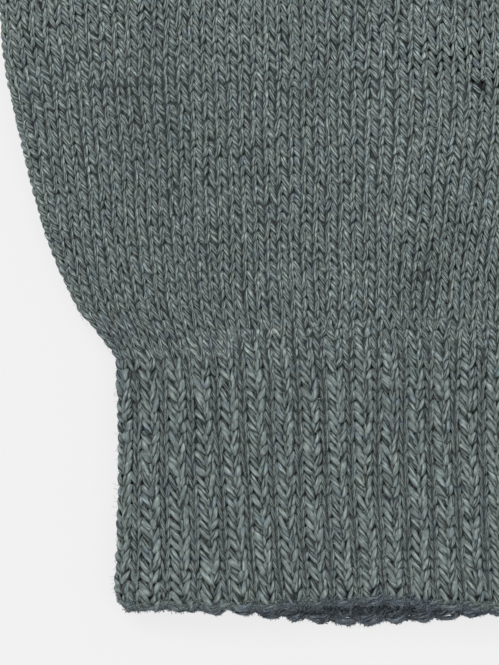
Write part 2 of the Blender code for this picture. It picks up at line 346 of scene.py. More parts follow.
def pick(piece, chosen):
    """Selects the vertices of the open piece that a rule on place and normal chooses."""
    bpy.ops.mesh.select_mode(type="VERT")
    mesh = bmesh.from_edit_mesh(piece.data)
    mesh.normal_update()
    for vertex in mesh.verts:
        vertex.select_set(chosen(vertex.co, vertex.normal))
    mesh.select_flush_mode()
    bmesh.update_edit_mesh(piece.data)


def move(piece, chosen, *by):
    """Moves the vertices of the open piece that a rule chooses."""
    pick(piece, chosen)
    bpy.ops.transform.translate(value=by)


def close():
    """Ends the editing of a piece."""
    bpy.ops.object.mode_set(mode="OBJECT")


CENTRE = 92.0
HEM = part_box("left_cuff")[0][1] / MM
CUFF_TOP = 47.6
HAND_START = 48.1
LAST_LEVEL = 98.6
LAST_BOW = 2.5
LAST_DROOP = 14.5
BOW_WIDTH = 60.0
DROOP_START = 14.0
DROOP_WIDTH = 44.6
DROOP_POWER = 1.6
KNUCKLE_LEFT = (-64.2, 137.0)
KNUCKLE_RIGHT = (26.8, 147.0)
KNUCKLE_WIDTH = KNUCKLE_RIGHT[0] - KNUCKLE_LEFT[0]
KNUCKLE_RISE = 9.0


def in_glove(x, y, side):
    """The pair's metres to one glove's millimetres."""
    return side * x / MM + CENTRE, y / MM - HEM


def sunk_course(level, x, bow, droop):
    """The height of a course at a place across the glove."""
    fall = (np.maximum(0.0, x - DROOP_START) / DROOP_WIDTH) ** DROOP_POWER
    return level - bow * (x / BOW_WIDTH) ** 2 - droop * fall


def last_course(x):
    """The height of the lower hand's last course, on which the upper hand and the thumb start."""
    return sunk_course(LAST_LEVEL, x, LAST_BOW, LAST_DROOP)


def knuckle_line(share):
    """A point of the arc on which the fingers start, at a share of the way from the little finger's side."""
    x = KNUCKLE_LEFT[0] + KNUCKLE_WIDTH * share
    straight = KNUCKLE_LEFT[1] + (KNUCKLE_RIGHT[1] - KNUCKLE_LEFT[1]) * share
    return x, straight + KNUCKLE_RISE * 4 * share * (1 - share)


def knuckle_share(x):
    """How far along that arc a place across the glove is."""
    return (x - KNUCKLE_LEFT[0]) / KNUCKLE_WIDTH


def on_seam(piece, x, y):
    """True on the edge of a piece that laps over its neighbour's."""
    if piece == "cuff":
        return y > CUFF_TOP
    if piece == "lower_hand":
        return y < HAND_START
    if piece in ("upper_hand", "thumb"):
        return abs(y - last_course(x) - SEAM) < ON_LAST_COURSE
    return abs(y - knuckle_line(knuckle_share(x))[1] - SEAM) < ON_KNUCKLES


def cloth_wall(hand, side, piece, finish):
    """One tube's wall, a little inside its solid's outer face, with the solid's own floor and inside."""
    node = f"{hand}_{piece}"
    low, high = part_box(node)
    middle = (low[0] + high[0]) / 2
    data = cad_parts[node].data.copy()
    wall = add_object(f"{node}_cloth", data)
    edit(wall)
    bpy.ops.mesh.select_all(action="SELECT")
    bpy.ops.mesh.remove_doubles(threshold=MERGE)
    lap = SEAM_LAP * MM * (1 if piece == "cuff" else -1)
    move(wall, lambda co, normal: on_seam(piece, *in_glove(co.x, co.y, side)), 0.0, lap, 0.0)
    if piece == "cuff":
        def outer(co, normal):
            on_top = normal.z > FACING and co.z > OFF_INSIDE
            on_side = normal.x * (co.x - middle) > FACING * abs(co.x - middle)
            return co.z > OFF_FLOOR and (on_top or on_side)
        pick(wall, outer)
        bpy.ops.transform.shrink_fatten(value=-CUFF_SINK * MM)
        move(wall, lambda co, normal: co.y / MM - HEM < HEM_DEPTH, 0.0, HEM_BACK * MM, 0.0)
    else:
        pick(wall, lambda co, normal: co.z > OFF_FLOOR)
        bpy.ops.transform.shrink_fatten(value=-WALL_SINK * MM)
    close()
    data.materials.clear()
    data.materials.append(finish)
    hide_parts(node)
    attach(wall, "root")
    return wall


LEANS = {"little": -13.0, "ring": -6.0, "middle": 0.0, "index": 5.0, "thumb": 27.0}
walls = {}
for hand, side in HANDS:
    for piece in TUBES:
        wale, course, between = RIB_CLOTH if piece == "cuff" else PLAIN_CLOTH
        turn = radians(side * LEANS.get(piece, 0.0))
        finish = cloth(f"{hand}_{piece}_cloth", wale, course, turn, between)
        walls[hand, piece] = cloth_wall(hand, side, piece, finish)


# Cuffs: one-by-one rib, a column of knit stitches and a column of purl ones by turns, knitted in one with
# the hand. The knit columns spring together and stand out, so the purl ones sink into dark grooves.

# A tube's edges and height at a level, and how far a course bows and droops there, all in mm
Outline = namedtuple("Outline", "level left right height bow droop", defaults=(0.0, 0.0))
CUFF_AND_HAND = [Outline(*row) for row in (
    (0.0, -45.0, 44.8, 7.8),
    (2.2, -45.0, 44.8, 7.8),
    (6.8, -45.1, 44.9, 7.4),
    (13.0, -44.8, 44.6, 6.6),
    (24.0, -44.5, 44.3, 6.2),
    (35.0, -44.4, 44.2, 6.2),
    (43.0, -44.7, 44.5, 6.4),
    (48.0, -45.1, 45.0, 6.6),
    (52.0, -47.9, 47.0, 6.9, 0.3, 1.6),
    (56.7, -51.7, 49.6, 7.3, 0.7, 2.6),
    (63.4, -54.8, 51.9, 7.7, 1.2, 5.0),
    (71.6, -57.9, 53.9, 8.0, 1.7, 8.2),
    (82.1, -60.6, 55.8, 8.1, 2.1, 12.0),
    (90.5, -62.6, 57.3, 8.1, 2.3, 13.5),
    (LAST_LEVEL, -64.3, 58.6, 8.0, LAST_BOW, LAST_DROOP),
)]
SIDE_ROUND = 3.2
SIDE_HEIGHT = 5.2
SIDE_ARC = pi * sqrt((SIDE_ROUND**2 + (SIDE_HEIGHT / 2) ** 2) / 2)
Crease = namedtuple("Crease", "x y long wide turn depth")
CREASES = [
    Crease(10.6, 62.6, 10.0, 3.4, 18.0, 1.1),
    Crease(-38.0, 88.0, 20.0, 7.0, -12.0, 0.6),
    Crease(41.0, 78.0, 13.0, 5.0, 22.0, 0.9),
    Crease(-12.0, 127.0, 22.0, 7.0, -6.0, 0.6),
]

# A level, how many wales lie there to the left and right of the cuff's centre line, and how wide each is
WALE_COUNTS = [
    (46.0, -25.2, 22.8, 2.10),
    (50.2, -25.8, 23.4, 2.14),
    (53.0, -26.2, 23.8, 2.17),
    (58.3, -26.8, 24.4, 2.22),
    (69.0, -27.9, 25.1, 2.24),
    (80.0, -28.7, 25.4, 2.24),
    (90.7, -29.2, 25.6, 2.24),
    (101.5, -29.3, 25.7, 2.24),
    (112.3, -29.2, 25.7, 2.24),
]
WALE = 2.24
RIB_WALE = 2.358
RIB_CENTRE = 1.62
RIB_WIDENING = 0.0016
RIB_COURSE = 1.92
COURSE_LEVELS = (42, 52, 110, 160)
COURSE_PITCHES = (RIB_COURSE, 1.75, 1.68, 1.70)
BELOW_HEM = 1.4
TOP_LEVEL = 165
WANDER = 0.18
EDGE_OVERHANG = 1.2
THUMB_PULL = 3.2
PULL_LEVELS = (58.0, 95.0)
PULL_WALES = (-3.0, 9.0)
RIB_END = 54.5
RIB_END_FALL = 6.0
RIB_END_UNEVEN = 1.5
RIB_FULL = 41.0
RIB_DEPTH = 0.76
RIB_STAND = 0.5
SPLAY_HEIGHT = 33.0
SPLAY_POWER = 1.5
SPLAY = 1.1
SPLAY_LEFT = 0.8
GATHER_LEVEL = 52.0
PURL_WIDTH = 0.60
PURL_SUNK = 0.22
HEM_LEVEL = 3.4
HEM_TURN = 1.0
HEM_CORNER = 3.0
CORNER_REACH = 6.0
HEM_REACH = 14.0
HEM_FADE = (HEM_LEVEL - 1.5, HEM_LEVEL + 4.0)
FLOOR_CLEAR = 0.12
RIB_CREST = 0.8
CREST_HEIGHT = 0.25
CENTRE_DIP = 0.58
PLAIN_DIP = 0.9
MOUTH_HALF = 17.0
FRONT_UP = 1.2
BACK_OUT = 2.2
SCALLOP = 0.35
HEM_WAVE = 0.25
HEM_RIPPLE = 0.18

# The ribs are flatter towards the glove's outer edge, where the cloth is worn
SIDE_WEAR = 0.4
WORN_ACROSS = (16.0, 40.0)

# In the mouth the upper layer's first course is left out, so that the hem turns straight in, and one
# purl stitch of the left cuff has sunk from sight
MOUTH_WALES = 8
PIT = (-18, 22)


def at_level(rows, level):
    """A table's columns after its first, which is the level, read at any level."""
    levels, *columns = zip(*rows)
    return [np.interp(level, levels, values) for values in columns]


def smooth(value, low, high):
    """0 up to low, 1 from high on, and a soft step between."""
    share = np.clip((value - low) / (high - low), 0.0, 1.0)
    return share * share * (3 - 2 * share)


def course_levels():
    """The level of each course, from the hem up."""
    levels = [HEM_LEVEL - BELOW_HEM]
    while levels[-1] < TOP_LEVEL:
        levels.append(levels[-1] + float(np.interp(levels[-1], COURSE_LEVELS, COURSE_PITCHES)))
    return np.array(levels)


LEVELS = course_levels()


def level_of(course):
    """The level of a course, or of a place between two or below the first."""
    return np.interp(course, np.arange(len(LEVELS)), LEVELS) + RIB_COURSE * np.minimum(course, 0.0)


def rib_share(level):
    """How far the cloth is drawn into ribs at a level: 0 in the hand, 1 in the cuff."""
    return 1 - smooth(level, RIB_FULL, RIB_END)


def last_rib_level(wale):
    """The level at which the rib goes over into plain knitting, lower towards the glove's outer edge."""
    uneven = RIB_END_UNEVEN * np.sin(0.9 * wale) * np.sin(0.37 * wale)
    return RIB_END - RIB_END_FALL * smooth(-wale, 7.0, 15.0) + uneven


def rib_wave(wale):
    """0 on the crest of a knit column and 1 in the middle of a purl one."""
    return 0.5 + 0.5 * np.cos(np.pi * (wale - 0.5))


def wander(wale, course, seed):
    """The small uneven drift of the loops in hand-flattened cloth."""
    return WANDER * (
        np.sin(0.83 * wale + 0.21 * course + seed)
        + np.sin(0.37 * wale - 0.46 * course + 2.1 * seed)
        + np.sin(1.7 * wale + 0.9 * course + 3.7 * seed) * 0.5
    ) / 2


def rib_place(wale, level):
    """Where a wale of the cuff lies across the flat cloth: its knit columns widen over its purl ones."""
    turn = np.round((wale - 0.5) / 2) * 2
    near = wale - 0.5 - turn
    out = np.abs(near)
    squeezed = np.where(out < 0.5, out * PURL_WIDTH, 0.5 * PURL_WIDTH + (out - 0.5) * (2 - PURL_WIDTH))
    count = turn + np.sign(near) * (out + (squeezed - out) * rib_share(level))
    flat = RIB_CENTRE + RIB_WALE * count * (1 + RIB_WIDENING * np.maximum(0.0, -count))
    inner = 1 - smooth(np.abs(flat), 26.0, 44.0)
    splay = (np.clip(RIB_FULL - level, 0.0, None) / SPLAY_HEIGHT) ** SPLAY_POWER
    splay = splay * (SPLAY + SPLAY_LEFT * smooth(-flat, 0.0, 30.0))
    gather = smooth(level, RIB_FULL, GATHER_LEVEL) * smooth(-flat, -2.0, 12.0)
    left, right, *_ = at_level(CUFF_AND_HAND, level)
    left = (left - CUFF_AND_HAND[0].left) * smooth(-flat, 22.0, 45.0)
    right = (right - CUFF_AND_HAND[0].right) * smooth(flat, 20.0, 45.0)
    return flat + inner * (splay - gather) + left + right


def wale_place(wale, level):
    """Where a wale of the hand lies across the flat cloth."""
    left, right, *_ = at_level(CUFF_AND_HAND, level)
    left, right = left - EDGE_OVERHANG, right + EDGE_OVERHANG
    count_left, count_right, pitch = at_level(WALE_COUNTS, level)
    pull = THUMB_PULL * smooth(level, *PULL_LEVELS)
    bend_left = (1 - left / (pitch * count_left)) / count_left
    bend_right = (1 - (right - pull) / (pitch * count_right)) / count_right
    bend = np.where(wale < 0, bend_left, bend_right)
    return pitch * wale * (1 - bend * wale) + pull * smooth(wale, *PULL_WALES)


def pressed(x, y):
    """How far the creases press the upper layer down."""
    depth = np.zeros_like(x)
    for crease in CREASES:
        turn = radians(crease.turn)
        across = (x - crease.x) * cos(turn) - (y - crease.y) * sin(turn)
        along = (y - crease.y) * cos(turn) + (x - crease.x) * sin(turn)
        depth += crease.depth * np.exp(-((across / crease.wide) ** 2) - (along / crease.long) ** 2)
    return depth


def wrapped(flat, left, right, height, lift):
    """A place across the flat cloth, wrapped on a flattened tube: its x and z, and how upper it is."""
    turned_left = np.clip((left + SIDE_ROUND - flat) / SIDE_ARC, 0.0, 1.0)
    turned_right = np.clip((flat - right + SIDE_ROUND) / SIDE_ARC, 0.0, 1.0)
    turn = np.pi * (turned_right - turned_left)
    share = np.clip((flat - left - SIDE_ROUND) / (right - left - 2 * SIDE_ROUND), 0.0, 1.0)
    crown = (height - SIDE_HEIGHT) * (1 - (2 * share - 1) ** 4)
    x = np.clip(flat, left + SIDE_ROUND, right - SIDE_ROUND) + (SIDE_ROUND + lift) * np.sin(turn)
    z = SIDE_HEIGHT / 2 + (SIDE_HEIGHT / 2 + lift) * np.cos(turn) + crown
    return x, z, (1 + np.cos(turn)) / 2


def hem_place(x, wale, layer):
    """The hem's y at a place across the cuff, for the upper layer (1) or the lower one (0)."""
    parting = np.exp(-((x / MOUTH_HALF) ** 2))
    y = HEM_LEVEL + parting * (FRONT_UP * layer - BACK_OUT * (1 - layer))
    uneven = HEM_WAVE * np.sin(0.31 * x) * np.sin(0.12 * x + 1)
    uneven = uneven + HEM_RIPPLE * np.sin(1.83 * x + 2 * layer) * np.sin(0.53 * x)
    return y + SCALLOP * (rib_wave(wale) - 0.5) + uneven


def corner_place(x, left, right):
    """How far the hem draws up round its corners."""
    from_edge = np.clip(np.minimum(x - left, right - x), 0.0, HEM_CORNER)
    return HEM_CORNER - np.sqrt(HEM_CORNER**2 - (HEM_CORNER - from_edge) ** 2)


def groove(wale, every, shift, width):
    """1 on the line between the two legs of the stitches in each column, and 0 to both sides of it."""
    return np.exp(-(((wale + shift) % every - every / 2) / width) ** 2)


def tube_place(flat, wale, level, lift, relief):
    """A place on the cuff or lower hand from its place across the flat cloth, in the glove's millimetres."""
    left, right, height, bow, droop = at_level(CUFF_AND_HAND, level)
    centre_line = groove(wale, 2, 0.42, 0.13) * relief
    centre_line += PLAIN_DIP * groove(wale, 1, 0.86, 0.16) * (1 - relief)
    worn = 1 - SIDE_WEAR * smooth(-flat, *WORN_ACROSS) * relief
    lift = lift + (RIB_STAND - RIB_DEPTH * rib_wave(wale) * worn) * relief - CENTRE_DIP * centre_line * worn
    round_hem = np.clip((HEM_LEVEL - level) / HEM_TURN, 0.0, 2.2)
    x, z, upper = wrapped(flat, left, right, height, lift * np.cos(np.minimum(round_hem, pi / 2)))
    y = sunk_course(level, x, bow, droop)
    hem = hem_place(x, wale, upper)
    y = y + (hem - HEM_LEVEL) * (1 - smooth(level, HEM_LEVEL, HEM_REACH))
    y = np.where(level < HEM_LEVEL, hem - (HEM_TURN + lift) * np.sin(round_hem), y)
    y = y + corner_place(x, left, right) * (1 - smooth(level, HEM_LEVEL, CORNER_REACH))
    z = z - (HEM_TURN + lift) * (1 - np.cos(round_hem)) * upper
    return x, y, np.maximum(z - upper * pressed(x, y), FLOOR_CLEAR)


def in_rib(wale, course, lift):
    """A place on the cuff, or on the rib's last courses above it."""
    level = level_of(course) + wander(wale, course, 1.0)
    relief = rib_share(level) * smooth(level, *HEM_FADE)
    return tube_place(rib_place(wale, level) + wander(wale, course, 2.0), wale, level, lift, relief)


def in_hand(wale, course, lift):
    """A place on the lower hand's plain cloth."""
    level = level_of(course) + wander(wale, course, 1.0)
    return tube_place(wale_place(wale, level) + wander(wale, course, 2.0), wale, level, lift, 0.0)


LEG_TAPER = 0.38
ON_LINE = 0.001


def leg_template(across, along):
    """One leg of a stitch, as half a yarn, with tapering ends: across and along from -1 to 1."""
    bpy.ops.mesh.primitive_grid_add(x_subdivisions=across, y_subdivisions=along, size=2)
    leg = bpy.context.object
    edit(leg)
    for i in range(across + 1):
        line = 2 * i / across - 1
        out, up = sin(line * pi / 2) * 1.001 - line, cos(line * pi / 2)
        move(leg, lambda co, normal: abs(co.x - line) < ON_LINE, out, 0.0, up)
    for i in range(along + 1):
        ring = 2 * i / along - 1
        width = 1 - LEG_TAPER * abs(ring) ** 3
        pick(leg, lambda co, normal: abs(co.y - ring) < ON_LINE)
        bpy.ops.transform.resize(value=(width, 1.0, width), center_override=(0.0, ring, 0.0))
    close()
    points = np.zeros(len(leg.data.vertices) * 3)
    leg.data.vertices.foreach_get("co", points)
    faces = np.array([list(face.vertices) for face in leg.data.polygons])
    bpy.data.objects.remove(leg)
    return points.reshape(-1, 3), faces


# A length of yarn in a stitch: its two ends in wales and courses from the stitch's lower left corner, its
# half width in mm, how far its middle bends sideways in wales, and how deep it lies in mm
Leg = namedtuple("Leg", "foot_u foot_v head_u head_v thick bend sunk")
LEFT_LEG = Leg(0.59, -0.38, 0.08, 1.02, 0.50, -0.02, 0.42)
RIGHT_LEG = Leg(0.66, -0.30, 0.97, 1.12, 0.46, 0.03, 0.42)
KNIT = (LEFT_LEG, RIGHT_LEG)
RIB_KNIT = (
    LEFT_LEG._replace(foot_u=0.52, foot_v=-0.40, head_v=1.05, thick=0.36),
    RIGHT_LEG._replace(foot_u=0.63, foot_v=-0.25, head_u=0.98, thick=0.36),
)
RIB_PURL = (
    LEFT_LEG._replace(sunk=LEFT_LEG.sunk + PURL_SUNK, thick=0.6),
    RIGHT_LEG._replace(sunk=RIGHT_LEG.sunk + PURL_SUNK, thick=0.55),
)
RIB_BACK = Leg(0.58, -0.15, 0.58, 1.15, 0.34, 0.0, 0.80)
HEM_CORD = Leg(-0.35, 0.0, 1.35, 0.35, 0.42, 0.0, 0.45)
YARN_HIGH = 0.55
LEG_BOW = 0.24
LEG_DIP = 0.26
COURSE = 1.74
UNEVEN_ACROSS = 0.055
UNEVEN_ALONG = 0.13
UNEVEN_THICK = 0.14
UNEVEN_RISE = 0.07
LOT_STARTS = 97.0
LOT_KINDS = 40.0

# Painted shade: a stitch is coloured darker the deeper it lies, and in a crease
SHADED = (-0.28, 0.50)
CREASE_SHADE = 0.5


def legs_on(cells, leg, template, place, rng):
    """Lays one leg of every stitch on the cloth: points, faces, yarn coordinates and its painted shade, from
    how deep it lies and from the creases.

    A cell is a stitch's wale and course and how wide it is in millimetres.
    """
    shape, faces = template
    count = len(cells)
    wale, course, width = cells[:, :1], cells[:, 1:2], cells[:, 2:3]

    def jitter(amount):
        return rng.normal(0.0, amount, (count, 1))

    foot_u = leg.foot_u + jitter(UNEVEN_ACROSS) * WALE / width
    foot_v = leg.foot_v + jitter(UNEVEN_ALONG)
    head_u = leg.head_u + jitter(UNEVEN_ACROSS) * WALE / width
    head_v = leg.head_v + jitter(UNEVEN_ALONG)
    thick = leg.thick * width / WALE * (1 + jitter(UNEVEN_THICK))
    rise = jitter(UNEVEN_RISE)
    across, along, up = shape[None, :, 0], (shape[None, :, 1] + 1) / 2, shape[None, :, 2]
    run_u = (head_u - foot_u) * width
    run_v = (head_v - foot_v) * COURSE
    length = np.sqrt(run_u**2 + run_v**2)
    arch = np.sin(np.pi * along)
    u = wale + foot_u + (head_u - foot_u) * along + leg.bend * arch
    u = u + across * thick * run_v / length / width
    v = course + foot_v + (head_v - foot_v) * along - across * thick * run_u / length / COURSE
    lift = -leg.sunk + YARN_HIGH * up + LEG_BOW * arch - LEG_DIP * (1 - arch) ** 2 + rise
    points = place(u, v, lift)
    coarse = np.minimum(1.0, WALE / width)
    # Painted shade: how much a leg is darkened for lying deep and for lying in a crease
    deep = (smooth(-lift, *SHADED) + CREASE_SHADE * pressed(points[0], points[1])).reshape(-1)
    lot = rng.uniform(0.0, 1.0, (count, 1))
    yarn = np.stack([
        along * length * coarse + lot * LOT_STARTS,
        np.arcsin(np.clip(across, -1, 1)) * leg.thick * coarse + 0 * along,
        lot * LOT_KINDS + 0 * along,
    ], axis=-1).reshape(-1, 3)
    faces = (faces[None] + np.arange(count)[:, None, None] * shape.shape[0]).reshape(-1, faces.shape[1])
    return points, faces, yarn, deep


def in_pair(points, side):
    """One glove's millimetres to the pair's metres."""
    x, y, z = points
    return np.stack([side * (x - CENTRE) * MM, (y + HEM) * MM, z * MM], axis=-1).reshape(-1, 3)


# Painted shade and felt: round the hem's roll, inside the mouth and along the cuff's outer edge by the wrist
# the wool is tinted darker, as painted shade, and bluer, as its felted fuzz
FELT_SHADE_RIM = 3.7
FELT_SHADE_MOUTH = 2.2
FELT_SHADE_UNEVEN = 0.4
FELT_SHADE_SOFT = 1.7
SIDE_FELT_SHADE = 0.55
SIDE_ACROSS = (42.5, 45.2)
SIDE_STARTS = (28.0, 36.0)
SIDE_ENDS = (50.0, 56.0)


def felt_and_shade_share(points, side):
    """How much painted shade and blue-grey felt colour the wool gets at a place: most round the hem and the
    mouth's inside.
    """
    x, y = in_glove(points[:, 0], points[:, 1], side)
    rim = FELT_SHADE_RIM + FELT_SHADE_MOUTH * np.exp(-((x / MOUTH_HALF) ** 2)) + FELT_SHADE_UNEVEN * np.sin(0.8 * x)
    edge = SIDE_FELT_SHADE * smooth(-x, *SIDE_ACROSS) * smooth(y, *SIDE_STARTS) * (1 - smooth(y, *SIDE_ENDS))
    return np.maximum(1 - smooth(y, rim - FELT_SHADE_SOFT, rim), edge)


def yarn_mesh(name, points, faces, yarn, deep, side, finish):
    """A joined mesh of many lengths of yarn, with their own coordinates on it. side turns its faces out."""
    faces = faces[:, ::side]
    data = bpy.data.meshes.new(name)
    data.vertices.add(len(points))
    data.vertices.foreach_set("co", points.astype(np.float32).ravel())
    data.loops.add(faces.size)
    data.loops.foreach_set("vertex_index", faces.astype(np.int32).ravel())
    data.polygons.add(len(faces))
    data.polygons.foreach_set("loop_start", np.arange(0, faces.size, faces.shape[1], dtype=np.int32))
    data.update(calc_edges=True)
    for layer, values in (("yarn", yarn), ("felt_and_shade", felt_and_shade_share(points, side)), ("deep", deep)):
        kind, field = ("FLOAT", "value") if values.ndim == 1 else ("FLOAT_VECTOR", "vector")
        attribute = data.attributes.new(layer, kind, "POINT")
        attribute.data.foreach_set(field, values.astype(np.float32).ravel())
    data.shade_smooth()
    data.materials.append(finish)
    piece = add_object(name, data)
    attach(piece, "root")
    return piece


fine_leg = leg_template(4, 6)
plain_leg = leg_template(2, 4)
stitches = {}


def knit(hand, side, piece, groups, place, seed, template=None, **look):
    """A piece's stitches, joined in one mesh.

    groups gives each kind of stitch's legs and cells, and its way of placing them if it has its own.
    """
    template = template or (fine_leg if side > 0 else plain_leg)
    rng = np.random.default_rng(seed)
    parts, start = [], 0
    for legs, cells, *own_place in groups:
        for leg in legs:
            lay = own_place[0] if own_place else place
            points, faces, yarn, deep = legs_on(np.array(cells, float), leg, template, lay, rng)
            points = in_pair(points, side)
            parts.append((points, faces + start, yarn, deep))
            start += len(points)
    points, faces, yarn, deep = (np.concatenate(arrays) for arrays in zip(*parts))
    name = f"{hand}_{piece}_stitches"
    joined = yarn_mesh(name, points, faces, yarn, deep, side, wool(name, **look))
    stitches[hand, piece] = joined


HAND_LEVEL = 47.9
RIB_KEPT = 46.0
RIB_LAST = RIB_END + 2.0
first_hand_course, last_rib_course, first_upper_course = (
    int(np.searchsorted(LEVELS, level)) for level in (HAND_LEVEL, RIB_LAST, LAST_LEVEL)
)


def rib_cells(courses, wales):
    """The knit cells and the sunken purl ones of some courses of rib, each with its width."""
    knits, purls = [], []
    for course in courses:
        spare = (1 - PURL_WIDTH) * float(rib_share(LEVELS[course]))
        for wale in wales:
            if LEVELS[course] > max(last_rib_level(wale), RIB_KEPT):
                continue
            if wale % 2:
                knits.append((wale, course, RIB_WALE * (1 + spare)))
            else:
                purls.append((wale, course, RIB_WALE * (1 - spare)))
    return knits, purls


def block(courses, wales, width):
    """A block of cells, all of one width."""
    return [(wale, course, width) for course in courses for wale in wales]


CUFF_LOOK = {"fleck": 0.64, "bump": 0.00006, "shade": 0.44}


def rib_crest(co, side):
    """True for a place of a cuff's wall that stands above the smooth tube its ribs rise from."""
    x, y = in_glove(co.x, co.y, side)
    left, right, height, *_ = at_level(CUFF_AND_HAND, y)
    x, z, upper = wrapped(x, left, right, height, -CUFF_SINK)
    return upper > 0.9 and co.z / MM > z + CREST_HEIGHT


for hand, side in HANDS:
    edit(walls[hand, "cuff"])
    move(walls[hand, "cuff"], lambda co, normal: rib_crest(co, side), 0.0, 0.0, -RIB_CREST * MM)
    close()
    knits, purls = (
        [cell for cell in cells if cell[1] > 0 or abs(cell[0]) > MOUTH_WALES]
        for cells in rib_cells(range(0, first_hand_course), range(-23, 23))
    )
    if hand == "left":
        purls = [cell for cell in purls if cell[:2] != PIT]
    cords = block((-0.75, -0.35, 0.05, 0.45), range(-21, 21), RIB_WALE)
    backs = [cell for cell in knits if cell[1] > 1]
    groups = [(RIB_KNIT, knits), (RIB_PURL, purls), ((RIB_BACK,), backs), ((HEM_CORD,), cords)]
    knit(hand, side, "cuff", groups, in_rib, 11, **CUFF_LOOK)


# Back hems: inside each mouth the cuff's lower layer shows, its ribs' inner side up, and its edge turns
# over in soft scallops. It is the same rib, in the shade of the upper layer.
LAYER_HALF = 1.05
BACK_STAND = 0.55
BACK_DEPTH = 0.5


def back_hem(wale, course, lift):
    """A place on the inside of the cuff's lower layer, near the hem."""
    level = level_of(course)
    x = rib_place(wale, level)
    hem = hem_place(x, wale, 0.0)
    over = np.clip((HEM_LEVEL - level) / HEM_TURN, 0.0, 1.9)
    lift = lift + BACK_STAND - BACK_DEPTH * rib_wave(wale)
    y = np.where(level < HEM_LEVEL, hem - (HEM_TURN + lift) * np.sin(over), hem + level - HEM_LEVEL)
    z = LAYER_HALF + (LAYER_HALF + lift) * np.cos(over)
    return x, y, np.maximum(z, FLOOR_CLEAR)


for hand, side in HANDS:
    knits, purls = rib_cells(range(1, 6), range(-15, 16))
    cords = block((-0.45, -0.05, 0.35, 0.75), range(-14, 15), RIB_WALE)
    knit(hand, side, "back_hem", [(RIB_KNIT, knits), (RIB_PURL, purls), ((HEM_CORD,), cords)], back_hem, 14)


# Lower hands: plain stockinette, one piece with the cuff below and with the thumb and the upper hand above.
# The rib fades out over its first courses. The left one has a small hole where a loop has broken.
TORN = Leg(0.78, -0.05, 0.14, 1.15, 0.33, 0.0, 0.20)
SHORT = (LEFT_LEG._replace(foot_v=-0.05), RIGHT_LEG._replace(foot_v=0.10))
TORN_WALE = 7
torn, above = ((TORN_WALE, first_upper_course - down, WALE) for down in (2, 1))

hand_cells = []
for course in range(first_hand_course, first_upper_course):
    left, right, pitch = at_level(WALE_COUNTS, LEVELS[course])
    for wale in range(int(np.floor(left - 2.6)), int(np.ceil(right + 1.6)) + 1):
        if LEVELS[course] > last_rib_level(wale) - 0.9:
            hand_cells.append((wale, course, WALE))
for hand, side in HANDS:
    knits, purls = rib_cells(range(first_hand_course, last_rib_course), range(-24, 24))
    groups = [(KNIT, knits, in_rib), (RIB_PURL, purls, in_rib), (KNIT, hand_cells)]
    if hand == "left":
        whole = [cell for cell in hand_cells if cell not in (torn, above)]
        groups[2:] = [(KNIT, whole), ((TORN,), [torn]), (SHORT, [above])]
    knit(hand, side, "lower_hand", groups, in_hand, 12)


# Hole: the dark inside of the left glove, seen where its torn loop has drawn back. It is a small disc of
# painted shadow just under the stitches, since the wall itself is closed there.
HOLE = (20.2, 96.3, 7.55)
HOLE_RADIUS = 1.0
HOLE_FINISH = {"Base Color": (0.006, 0.007, 0.009, 1.0), "Roughness": 1.0}
place = tuple(in_pair(HOLE, 1)[0])
bpy.ops.mesh.primitive_circle_add(vertices=12, radius=HOLE_RADIUS * MM, fill_type="NGON", location=place)
hole = bpy.context.object
hole.name = "left_hole_painted_shadow"
hole.data.materials.append(new_material("left_hole_painted_shadow", HOLE_FINISH))
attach(hole, "root")


# Upper hands: the same stockinette goes on over the palm's upper part, knitted on from the lower hand's
# last loops up to the four fingers' roots, where it dips into three valleys.
UPPER_HAND = [Outline(*row, LAST_BOW, LAST_DROOP) for row in (
    (90.0, -62.5, 26.4, 8.0),
    (98.6, -64.3, 26.5, 8.0),
    (106.0, -65.5, 26.9, 8.1),
    (115.0, -66.2, 27.2, 8.1),
    (124.0, -66.0, 27.5, 8.0),
    (132.5, -65.3, 27.4, 7.8),
    (140.0, -64.2, 27.0, 7.5),
    (155.0, -63.5, 26.8, 7.5),
)]
KNUCKLE_SHARES = (0.225, 0.475, 0.740)
THUMB_OUTER = 58.6
CROTCH_WALES = (9, 14)
CROTCH_OUT = 0.3
ROOT_SINK = 1.1
ROOT_EDGE = (-0.8, 1.6)
OUTER_SIDE = (-60.0, -40.0)
TRUE_WALES = 112.0
THUMB_FADE = (99.0, 110.0)
PAST_KNUCKLES = 0.9
ABOVE_FLOOR = 0.9
CREASES += [Crease(*knuckle_line(share), 9.0, 2.6, 0.0, 1.4) for share in KNUCKLE_SHARES]


def upper_hand(wale, course, lift):
    """A place on the upper hand, in the glove's own millimetres."""
    level = level_of(course) + wander(wale, course, 1.0)
    flat = wale_place(wale, np.minimum(level, TRUE_WALES)) + wander(wale, course, 2.0)
    left, right, height, bow, droop = at_level(UPPER_HAND, level)
    flat = flat + (left - at_level(CUFF_AND_HAND, level)[0]) * (1 - smooth(flat, *OUTER_SIDE))
    x, z, upper = wrapped(flat, left, right, height, lift)
    whole = wrapped(flat, left, THUMB_OUTER, height, lift)[1]
    z = z + (whole - z) * (1 - smooth(level, *THUMB_FADE)) * smooth(upper, 0.5, 1.0)
    y = sunk_course(level, x, bow, droop)
    share = np.clip(knuckle_share(x), 0.0, 1.0)
    under = ROOT_SINK * smooth(y - knuckle_line(share)[1], *ROOT_EDGE)
    return x, y, np.maximum(z - upper * (pressed(x, y) + under), FLOOR_CLEAR)


